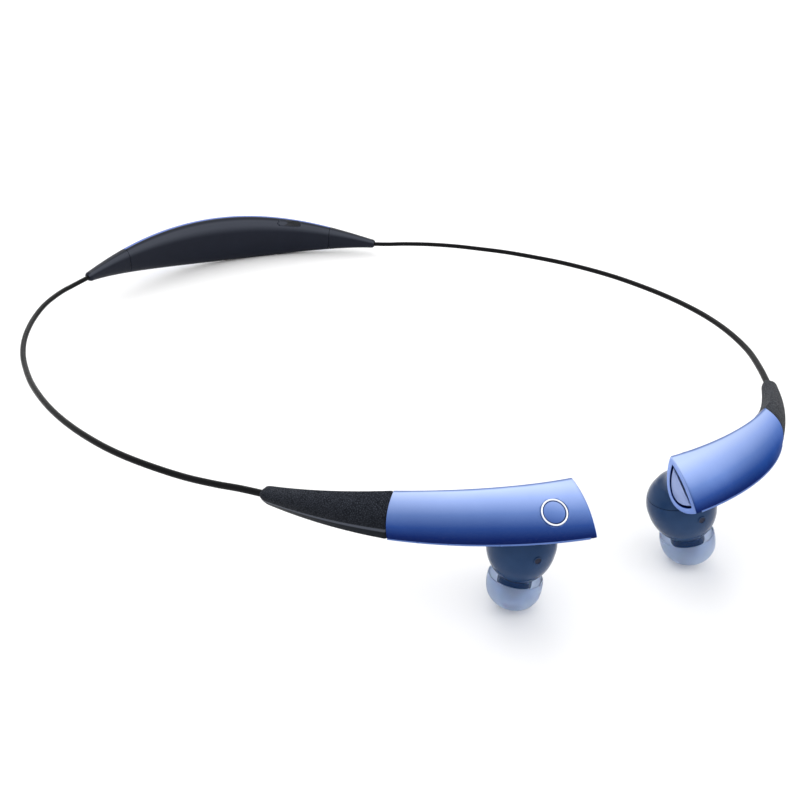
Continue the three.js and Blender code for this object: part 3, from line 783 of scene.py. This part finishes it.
# Smooth curve through a few profile points.
def eased(points, steps=6):
    padded = [points[0]] + list(points) + [points[-1]]
    line = []
    for i in range(1, len(padded) - 2):
        a, b, c, d = (Vector(p) for p in padded[i - 1:i + 3])
        for k in range(steps):
            t = k / steps
            line.append(tuple(0.5 * (2 * b + (c - a) * t + (2 * a - 5 * b + 4 * c - d) * t ** 2
                                     + (3 * b - a - 3 * c + d) * t ** 3)))
    return line + [tuple(points[-1])]


def oval(radius, half, low, high, count):
    turns = [math.radians(a) for a in spread(low, high, count)]
    return [(radius * math.sin(a), -half * math.cos(a)) for a in turns]


# Sleeve, shells and clasp

# rows are distance back from the clasp end, then inset from the shell's surface
trim = {
    "rim": 0.2, "slot": 1.5, "plate": ((1.2, 1.85), (0.5, 1.85), (0.3, 2.0), (0.2, 2.25)),
    "frameOuter": ((1.2, 1.05), (0.34, 1.05), (0.26, 0.03), (0.08, 0.1), (0, 0.3)),
    "frameInner": ((1.2, 1.45), (0.5, 1.45), (0.2, 1.45), (0.08, 1.38), (0, 1.22)),
}


def makeSleeve(side):
    stations = [0, 0.12, 0.35, 0.7, 1.2, 1.9] + spread(2.6, bud["sleeve"] - 0.12, 110)
    rounds = {0: 0.62, 0.12: 0.36, 0.35: 0.2, 0.7: 0.1, 1.2: 0.04}
    outer, inner = [], []
    for k, station in enumerate(stations):
        close = 0.16 if k == len(stations) - 1 else 0
        outer.append(sectionRing(station, rounds.get(station, 0) + close, 45))
        inner.append(sectionRing(station, max(0.75, mix(0.8, 1.3, clamp(station / 12))), 45))
    return wallPiece("Sleeve", side, outer, inner, "leather", True, sharp=50)


# The painted shade is shifted along the shell: paler towards the clasp, and paler all over on the left earphone
# for the light that falls on it; its last thin line along the ridge stays put.
def paintedShade(side, station, level):
    low, high = lacquer["shift"]
    share = clamp((station - bud["sleeve"]) / bud["shell"])
    shift = mix(low, high, share * share) + lacquer["sideLightShift"][side]
    return max(level, min(level + shift * (1 - level * level) ** 0.5, 0.9))


def makeShells(side):
    stations = spread(bud["sleeve"] + 0.06, budLength - 0.3, 90)
    outerLevels, innerLevels = levels(49), levels(49, 84, -84)
    skins = [[[(sectionPoint(s, v, 1, inset), paintedShade(side, s, v)) for v in outerLevels] for s in stations]
             for inset in (0, bud["wall"])]
    outer = wallPiece("OuterShell", side, skins[0], skins[1], "shadePaintedLacquer", False,
                      modifiers=[edgeBevel(0.12, 2, 50)])
    skins = [[[(sectionPoint(s, v, -1, inset), v) for v in innerLevels] for s in stations]
             for inset in (0.04, bud["wall"] + 0.2)]
    inner = wallPiece("InnerShell", side, skins[0], skins[1], "deepLacquer", False,
                      modifiers=[edgeBevel(0.12, 2, 50)])
    return outer, inner


# A thin bright strip along the foot, between the two shells, is a painted highlight: it stands for the light
# caught on the shells' lower edge.
def makeHighlightStrip(side):
    rings = []
    for station in spread(bud["sleeve"] + 0.1, budLength - 1.3, 90):
        _, out, up, _ = spineFrame(station)
        centre = sectionPoint(station, -1, 1, 0) + up * 0.06 - out * 0.08
        rings.append([budToRow(side, centre + (out * math.cos(a) + up * math.sin(a)) * trim["rim"])
                      for a in (math.tau * k / 10 for k in range(10))])
    piece = makePiece(side + "FootRim", loftPoints(rings), loftFaces(len(rings), 10), "highlightStripLacquer", sharp=60)
    pointOut(piece)
    return piece


def makeEndFrame(side):
    outer, inner = ([sectionRing(budLength - back, inset, 41) for back, inset in trim[key]]
                    for key in ("frameOuter", "frameInner"))
    for row in outer[3:] + inner[3:]:
        row[:] = [(point, mix(level, 0.6, 0.85)) for point, level in row]
    # Painted shade: the frame's deep inner wall takes the darkest level of the ramp, as shade in the slot round
    # the plate.
    for row in inner[:3]:
        row[:] = [(point, -0.9) for point, _ in row]
    return wallPiece("EndFrame", side, outer, inner, "shadePaintedLacquer", True, sharp=50)


# The plate stands clear of the frame, most on its straight outer side.
def plateRing(station, inset):
    ring = [(sectionPoint(station, v, 1, inset, -trim["slot"] * (1 - v * v) ** 0.5), v) for v in levels(41)]
    return ring + [(sectionPoint(station, v, -1, inset), v) for v in levels(41)[1:-1][::-1]]


def makeClasp(side):
    plate = [plateRing(budLength - back, inset) for back, inset in trim["plate"]]
    points = [budToRow(side, p) for row in plate for p, _ in row]
    count = len(plate[0])
    points += [budToRow(side, middle([p for p, _ in row])) for row in (plate[0], plate[-1])]
    plate = makePiece(side + "ClaspPlate", points, loftFaces(len(plate), count), "paleLacquer", sharp=40)
    pointOut(plate)
    # Painted shade: a dark floor in the slot between the plate and the frame.
    floor = [sectionRing(budLength - back, 1.3, 41) for back in (1.6, 1.3)]
    points = [budToRow(side, p) for row in floor for p, _ in row]
    points += [budToRow(side, middle([p for p, _ in row])) for row in floor]
    floor = makePiece(side + "ClaspFloor", points, loftFaces(len(floor), count), "shadow", sharp=40)
    pointOut(floor)
    return plate, floor


# Call button

button = {"station": 66.6, "height": -0.5, "radius": 2.2, "ring": 2.7}


def buttonFrame():
    _, out, up, _ = spineFrame(button["station"])
    return out, up, sectionPoint(button["station"], button["height"] / bud["height"][2], 1)


def makeButton(side, shell):
    out, up, place = buttonFrame()
    cap, ring = button["radius"], button["ring"]

    # The button face carries the shell's painted shade.
    def level(point):
        raised = (button["height"] + (point - place).dot(up)) / bud["height"][2]
        return paintedShade(side, button["station"], clamp(raised, -1, 1))

    hole = [(0, -3), (ring + 0.05, -3), (ring + 0.05, 3), (0, 3)]
    cutter = budTurned("HoleCutter", side, hole, place, out, "shadow")
    modifier = shell.modifiers.new("hole", "BOOLEAN")
    modifier.object, modifier.solver = cutter, "EXACT"
    settle(shell)
    shell.data.shade_smooth()
    shell.data.set_sharp_from_angle(angle=math.radians(30))
    bpy.data.objects.remove(cutter)
    profile = [(cap + 0.08, -0.9), (ring, -0.9), (ring, 0.0), (ring - 0.04, 0.12), (ring - 0.12, 0.2),
               (ring - 0.26, 0.2), (ring - 0.38, 0.1), (cap + 0.08, -0.05)]
    band = budTurned("ButtonRing", side, profile, place, out, "chrome", closed=True, count=72, sharp=60)
    finishPiece(band, side + "_bud", "chrome_trim", side + "_button_ring")
    profile = [(0, -1.0), (cap - 0.02, -1.0), (cap - 0.02, -0.1)]
    profile += eased([(cap - 0.05, -0.02), (cap - 0.2, 0.04), (cap * 0.5, 0.1), (0, 0.12)], 5)
    face = budTurned("CallButton", side, profile, place, out, "shadePaintedLacquer", count=72, marks=level)
    finishPiece(face, "call_button", "metallic_blue", side + "_call_button")


# Earpiece and tip

earpiece = {
    "station": 64.9, "inward": 16.2, "down": 1.4, "aim": (0.04, -0.68, -0.73), "radius": 7.4, "half": 7.3,
    "armRadius": 4.4, "armDrop": 3.0, "collar": 3.65, "collarEnd": 10.4, "nozzle": 2.4,
    "bore": 2.0, "split": -2.8, "vent": (2.1, 4.4, -4.6), "ventReach": 7.45,
    "dome": ((7.34, 0.9), (7.1, 2.5), (6.55, 4.3), (5.7, 5.9), (4.65, 7.2), (3.9, 7.9), (3.65, 8.3)),
    "nozzleLip": ((0.0, 12.0), (0.18, 12.4), (0.18, 12.8), (0.0, 13.1), (-0.1, 13.2)),
}
# rows are distance in from the tip's radius, then on from its rim; the core's are radius, then along the axis
tip = {
    "radius": 5.95, "rim": 8.2, "nose": 15.3,
    "skirt": ((0.12, 0), (0, 1.2), (0.08, 2.6), (0.4, 4.1), (1.35, 5.6), (2.6, 6.6)),
    "core": ((1.9, 13.65), (2.62, 13.6), (2.62, 11.0), (2.75, 10.85), (3.2, 10.85), (3.35, 11.0)),
    "hollow": ((3.38, 11.8), (3.6, 12.35), (4.15, 12.6), (4.75, 11.9), (5.2, 10.7), (5.42, 9.5)),
}


def earpieceAxis():
    along, out, up, place = spineFrame(earpiece["station"])
    place = place - out * earpiece["inward"] - up * earpiece["down"]
    aim = earpiece["aim"]
    return place, (along * aim[0] + out * aim[1] + up * aim[2]).normalized()


def makeEarpiece(side):
    place, axis = earpieceAxis()
    radius, half = earpiece["radius"], earpiece["half"]
    split = math.degrees(math.acos(-earpiece["split"] / half))
    collar, end, nozzle, bore = (earpiece[key] for key in ("collar", "collarEnd", "nozzle", "bore"))
    front = oval(radius, half, split + 0.4, 96, 12)[:-1]
    front += eased(list(earpiece["dome"]), 5)
    front += [(collar, end - 0.25), (collar - 0.06, end - 0.07), (collar - 0.25, end), (nozzle + 0.3, end),
              (nozzle, end + 0.3)]
    front += [(nozzle + swell, along) for swell, along in earpiece["nozzleLip"]] + [(bore, 13.2), (bore, 7)]
    front += oval(radius - 1, half - 1, split + 0.4, 155, 14)[::-1]
    piece = budTurned("EarpieceFront", side, front, place, axis, "smoked", closed=True, count=80)
    finishPiece(piece, side + "_bud", "smoked_blue", side + "_earpiece_front")
    seamRadius = radius * math.sin(math.radians(split)) - 0.12
    back = oval(radius, half, 0, split - 0.6, 22) + [(seamRadius, earpiece["split"])]
    back += oval(radius - 1, half - 1, 0, split - 0.6, 14)[::-1]
    piece = budTurned("EarpieceBack", side, back, place, axis, "smoked", count=80)
    finishPiece(piece, side + "_bud", "smoked_blue", side + "_earpiece_back")
    makeArm(side, place)
    makeVent(side, place)
    grille(side, place, axis)


screen = {"pitch": 0.2, "wire": 0.03}


# Wires over a grid cut to a disc, as a node tree with named inputs.
def screenTree():
    tree = bpy.data.node_groups.new("wireScreen", "GeometryNodeTree")
    face = tree.interface
    face.new_socket("Geometry", in_out="INPUT", socket_type="NodeSocketGeometry")
    for name in ("Radius", "Width", "Wire"):
        face.new_socket(name, in_out="INPUT", socket_type="NodeSocketFloat")
    face.new_socket("Count", in_out="INPUT", socket_type="NodeSocketInt")
    face.new_socket("Finish", in_out="INPUT", socket_type="NodeSocketMaterial")
    face.new_socket("Geometry", in_out="OUTPUT", socket_type="NodeSocketGeometry")
    kinds = {
        "given": "NodeGroupInput", "grid": "GeometryNodeMeshGrid", "place": "GeometryNodeInputPosition",
        "reach": "ShaderNodeVectorMath", "outside": "FunctionNodeCompare", "trim": "GeometryNodeDeleteGeometry",
        "lines": "GeometryNodeMeshToCurve", "round": "GeometryNodeCurvePrimitiveCircle",
        "wires": "GeometryNodeCurveToMesh", "real": "GeometryNodeRealizeInstances",
        "finish": "GeometryNodeSetMaterial", "made": "NodeGroupOutput",
    }
    nodes = {key: tree.nodes.new(kind) for key, kind in kinds.items()}
    nodes["reach"].operation = "LENGTH"
    nodes["outside"].operation = "GREATER_THAN"
    nodes["round"].inputs["Resolution"].default_value = 6
    nodes["wires"].inputs["Fill Caps"].default_value = True
    links = [
        ("given", "Width", "grid", "Size X"), ("given", "Width", "grid", "Size Y"),
        ("given", "Count", "grid", "Vertices X"), ("given", "Count", "grid", "Vertices Y"),
        ("place", "Position", "reach", 0), ("reach", "Value", "outside", 0), ("given", "Radius", "outside", 1),
        ("grid", "Mesh", "trim", "Geometry"), ("outside", "Result", "trim", "Selection"),
        ("trim", "Geometry", "lines", "Mesh"), ("given", "Wire", "round", "Radius"),
        ("lines", "Curve", "wires", "Curve"), ("round", "Curve", "wires", "Profile Curve"),
        ("wires", "Mesh", "real", "Geometry"), ("real", "Geometry", "finish", "Geometry"),
        ("given", "Finish", "finish", "Material"), ("finish", "Geometry", "made", "Geometry"),
    ]
    for source, output, target, entry in links:
        tree.links.new(nodes[source].outputs[output], nodes[target].inputs[entry])
    return tree


wireTree = screenTree()


def wireScreen(name, side, radius, at, axis, look="steel"):
    holder = bpy.data.objects.new(name, bpy.data.meshes.new(name))
    bpy.context.scene.collection.objects.link(holder)
    modifier = holder.modifiers.new("screen", "NODES")
    count = 2 * round(radius / screen["pitch"]) + 2
    values = {"Radius": radius * 0.001, "Width": (count - 1) * screen["pitch"] * 0.001,
              "Wire": screen["wire"] * 0.001, "Count": count, "Finish": looks[look]}
    modifier.node_group = wireTree
    for socket in wireTree.interface.items_tree:
        if socket.in_out == "INPUT" and socket.name in values:
            modifier[socket.identifier] = values[socket.name]
    settle(holder)
    across = axis.orthogonal().normalized()
    other = axis.cross(across)
    for vertex in holder.data.vertices:
        x, y, z = vertex.co * 1000
        vertex.co = budToRow(side, at + across * x + other * y + axis * z)
    pointOut(holder)
    holder.data.shade_smooth()
    return holder


# The short arm flares where it leaves the shell and narrows into the earpiece.
def makeArm(side, place):
    along, out, up, _ = spineFrame(earpiece["station"])
    start = place + up * (earpiece["armDrop"] - 0.4)
    reach = earpiece["inward"] - sized("depth", earpiece["station"]) * 0.72
    rings = []
    for share in spread(0, 1, 22):
        flare = 0.75 * smooth(1 - share * 2.2) + 1.3 * smooth(share * 2.2 - 1.2)
        radius = earpiece["armRadius"] - 0.3 + flare
        centre = start + out * (1.0 + (reach - 1.0) * share) + up * 0.5 * share
        rings.append([budToRow(side, centre + (along * math.cos(a) * 1.08 + up * math.sin(a)) * radius)
                      for a in (math.tau * k / 48 for k in range(48))])
    piece = makePiece(side + "EarpieceArm", loftPoints(rings), loftFaces(len(rings), 48), "smoked", sharp=60)
    pointOut(piece)
    finishPiece(piece, side + "_bud", "smoked_blue")


def makeVent(side, place):
    along, out, up, _ = spineFrame(earpiece["station"])
    way = (along * earpiece["vent"][0] + out * earpiece["vent"][1] + up * earpiece["vent"][2]).normalized()
    mouth = place + way * earpiece["ventReach"]
    ring = eased([(0.72, -0.3), (0.95, -0.05), (0.86, 0.1), (0.7, 0.02), (0.6, -0.5)], 4)
    ring = budTurned("VentRing", side, ring, mouth, way, "smoked", closed=True, count=32)
    finishPiece(ring, side + "_bud", "smoked_blue")
    # Painted shade: a dark disc at the bottom of the vent, and a dark vent screen, for the shade in the hole.
    floor = [(0, -0.3), (0.7, -0.3), (0.7, -0.02), (0, 0.0)]
    floor = budTurned("VentFloor", side, floor, mouth, way, "shadow", count=32)
    finishPiece(floor, side + "_bud", "deep_blue")
    net = wireScreen(side + "VentScreen", side, 0.6, place + way * 7.42, way, "shadow")
    finishPiece(net, side + "_bud", "dark_housing", side + "_vent_screen")


# A wire screen on a thin frame in the mouth of the nozzle.
def grille(side, place, axis):
    disc = [(1.5, 12.4), (1.74, 12.4), (1.78, 12.5), (1.74, 12.66), (1.5, 12.66)]
    piece = budTurned("NozzleRing", side, disc, place, axis, "steel", closed=True, count=40)
    finishPiece(piece, side + "_bud", "steel")
    net = wireScreen(side + "NozzleGrille", side, 1.62, place + axis * 12.5, axis)
    finishPiece(net, side + "_bud", "steel", side + "_nozzle_grille")
    disc = [(0, 11.6), (1.8, 11.6), (1.8, 11.75), (0, 11.75)]
    piece = budTurned("NozzleFoam", side, disc, place, axis, "shadow", count=40)
    finishPiece(piece, side + "_bud", "deep_blue")


def makeTip(side):
    place, axis = earpieceAxis()
    radius, rim, nose = tip["radius"], tip["rim"], tip["nose"]
    outer = [(radius - inward, rim + along) for inward, along in tip["skirt"]]
    outer = eased(outer + [(radius - 3.6, nose), (1.95, nose - 0.05)], 6)
    inner = [(1.9, nose - 0.3)] + list(tip["core"])
    inner += eased(list(tip["hollow"]) + [(5.45, rim + 0.1)], 5)
    edge = [(radius - 0.4, rim - 0.05), (radius - 0.22, rim - 0.07)]
    piece = budTurned("EarTip", side, outer + inner + edge, place, axis, "silicone", closed=True, count=80)
    finishPiece(piece, side + "_ear_tip", "silicone", side + "_ear_tip")


def makeBud(side):
    body = side + "_bud"
    finishPiece(makeSleeve(side), body, "leather_grain", side + "_cable_sleeve")
    outer, inner = makeShells(side)
    if side == "right":
        makeButton(side, outer)
    finishPiece(outer, body, "metallic_blue", side + "_outer_shell")
    finishPiece(inner, body, "deep_blue", side + "_inner_shell")
    finishPiece(makeHighlightStrip(side), body, "pale_blue_frame")
    finishPiece(makeEndFrame(side), body, "pale_blue_frame", side + "_end_frame")
    plate, floor = makeClasp(side)
    finishPiece(plate, body, "metallic_blue", side + "_clasp_plate")
    finishPiece(floor, body, "deep_blue")
    makeEarpiece(side)
    makeTip(side)
    print(side, "earphone")


for side in sides:
    makeBud(side)


# Pieces kept as the frame has them

keptLooks = {
    "charging_receptacle": "shadow", "battery_cell": "foil", "module_circuit_board": "board",
    "right_button_board": "board", "right_microphone": "gold",
}
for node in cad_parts:
    kept = bpy.data.objects.get(node)
    if kept and kept.type == "MESH":
        kept.data.materials.clear()
        kept.data.materials.append(looks[keptLooks.get(node, "steel")])


# Table

def makeTable():
    size = 12.0
    mesh = bpy.data.meshes.new("table")
    corners = [(x * size, y * size, 0) for x, y in ((-1, -1), (1, -1), (1, 1), (-1, 1))]
    mesh.from_pydata(corners, [], [(0, 1, 2, 3)])
    shader = Shader("paleTable", Roughness=0.7)
    shader.set("Base Color", shader.blendColour(shader.noise(40, 3), (0.975, 0.975, 0.98), (0.99, 0.99, 0.99)))
    mesh.materials.append(shader.material)
    table = bpy.data.objects.new("table", mesh)
    bpy.context.scene.collection.objects.link(table)


makeTable()
print("table")
